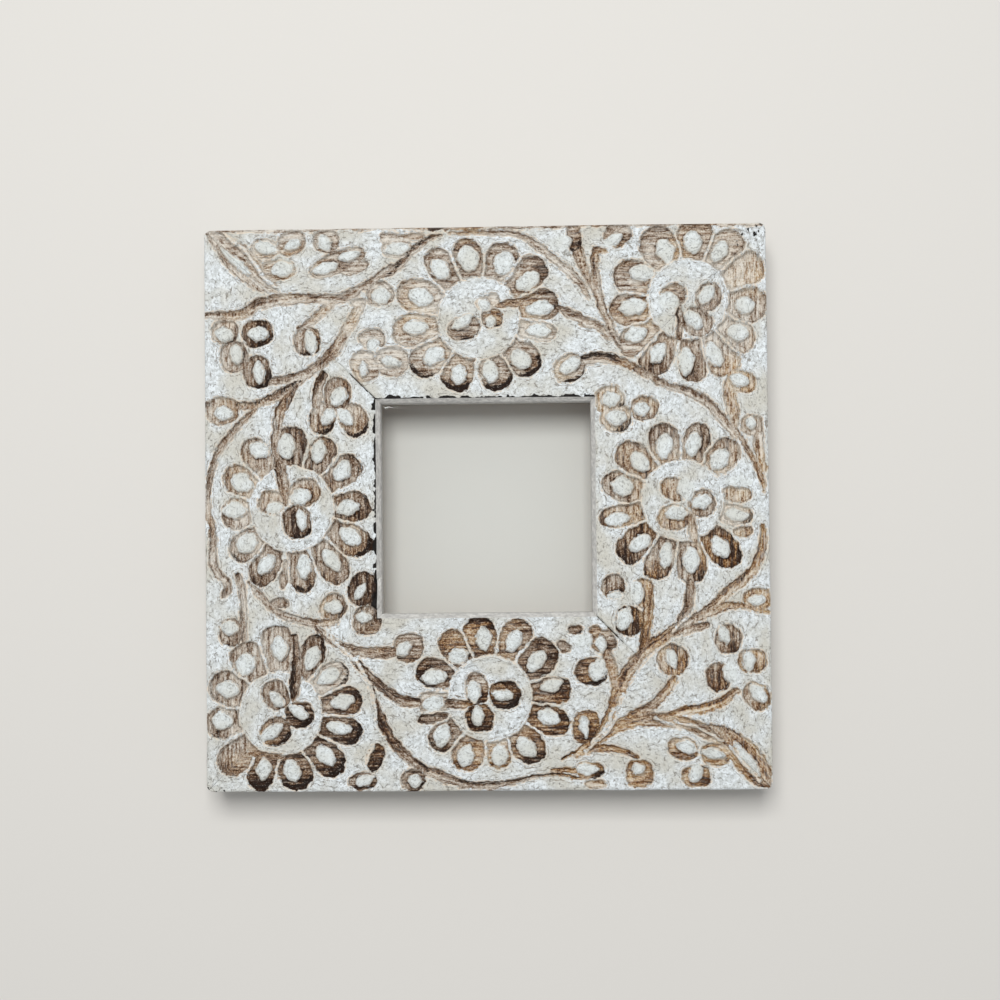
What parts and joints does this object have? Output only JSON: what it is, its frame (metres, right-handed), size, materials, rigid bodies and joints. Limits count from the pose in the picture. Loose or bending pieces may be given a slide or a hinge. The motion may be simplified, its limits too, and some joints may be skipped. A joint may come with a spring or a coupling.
{
  "type": "carved wooden picture frame",
  "caption": "Square wooden picture frame with a shallow floral relief under worn white paint, mitred rails, a glass pane and turn buttons at the back.",
  "frame": {"origin": "middle of the frame, on the plane that the felt bumpers rest on when it lies on its back", "axes": "+Z out of the carved face, +Y towards the top of the picture, where the hanger is, +X towards the right of the picture, seen from the front"},
  "size_m": [0.17, 0.17, 0.021],
  "materials": {
    "whitewashed_wood": "brushed white paint worn through to brown wood",
    "vnail_steel": "dark oiled",
    "picture_glass": "clear, polished",
    "brass_plated_steel": "plated, dulled",
    "screw_steel": "zinc plated",
    "zinc_plated_steel": "zinc plated",
    "nail_steel": "bright, dulled",
    "brown_felt": "pressed felt"
  },
  "bodies": {
    "frame": {"top_rail": "whitewashed_wood", "bottom_rail": "whitewashed_wood", "left_rail": "whitewashed_wood", "right_rail": "whitewashed_wood", "vnails_top_left": "vnail_steel", "vnails_top_right": "vnail_steel", "vnails_bottom_left": "vnail_steel", "vnails_bottom_right": "vnail_steel", "glass_pane": "picture_glass", "button_screw_top": "screw_steel", "button_screw_bottom": "screw_steel", "button_screw_left": "screw_steel", "button_screw_right": "screw_steel", "sawtooth_hanger": "zinc_plated_steel", "hanger_nails": "nail_steel", "felt_bumpers": "brown_felt"},
    "button_top": {"turn_button_top": "brass_plated_steel"},
    "button_bottom": {"turn_button_bottom": "brass_plated_steel"},
    "button_left": {"turn_button_left": "brass_plated_steel"},
    "button_right": {"turn_button_right": "brass_plated_steel"}
  },
  "joints": [
    {"name": "turn_button_top_pivot", "type": "hinge", "parent": "frame", "child": "button_top", "pos_m": [0, 0.04475, 0.00249], "axis": [0, 0, -1], "continuous": true},
    {"name": "turn_button_bottom_pivot", "type": "hinge", "parent": "frame", "child": "button_bottom", "pos_m": [0, -0.04475, 0.00249], "axis": [0, 0, -1], "continuous": true},
    {"name": "turn_button_left_pivot", "type": "hinge", "parent": "frame", "child": "button_left", "pos_m": [-0.04475, 0, 0.00249], "axis": [0, 0, -1], "continuous": true},
    {"name": "turn_button_right_pivot", "type": "hinge", "parent": "frame", "child": "button_right", "pos_m": [0.04475, 0, 0.00249], "axis": [0, 0, -1], "continuous": true}
  ]
}
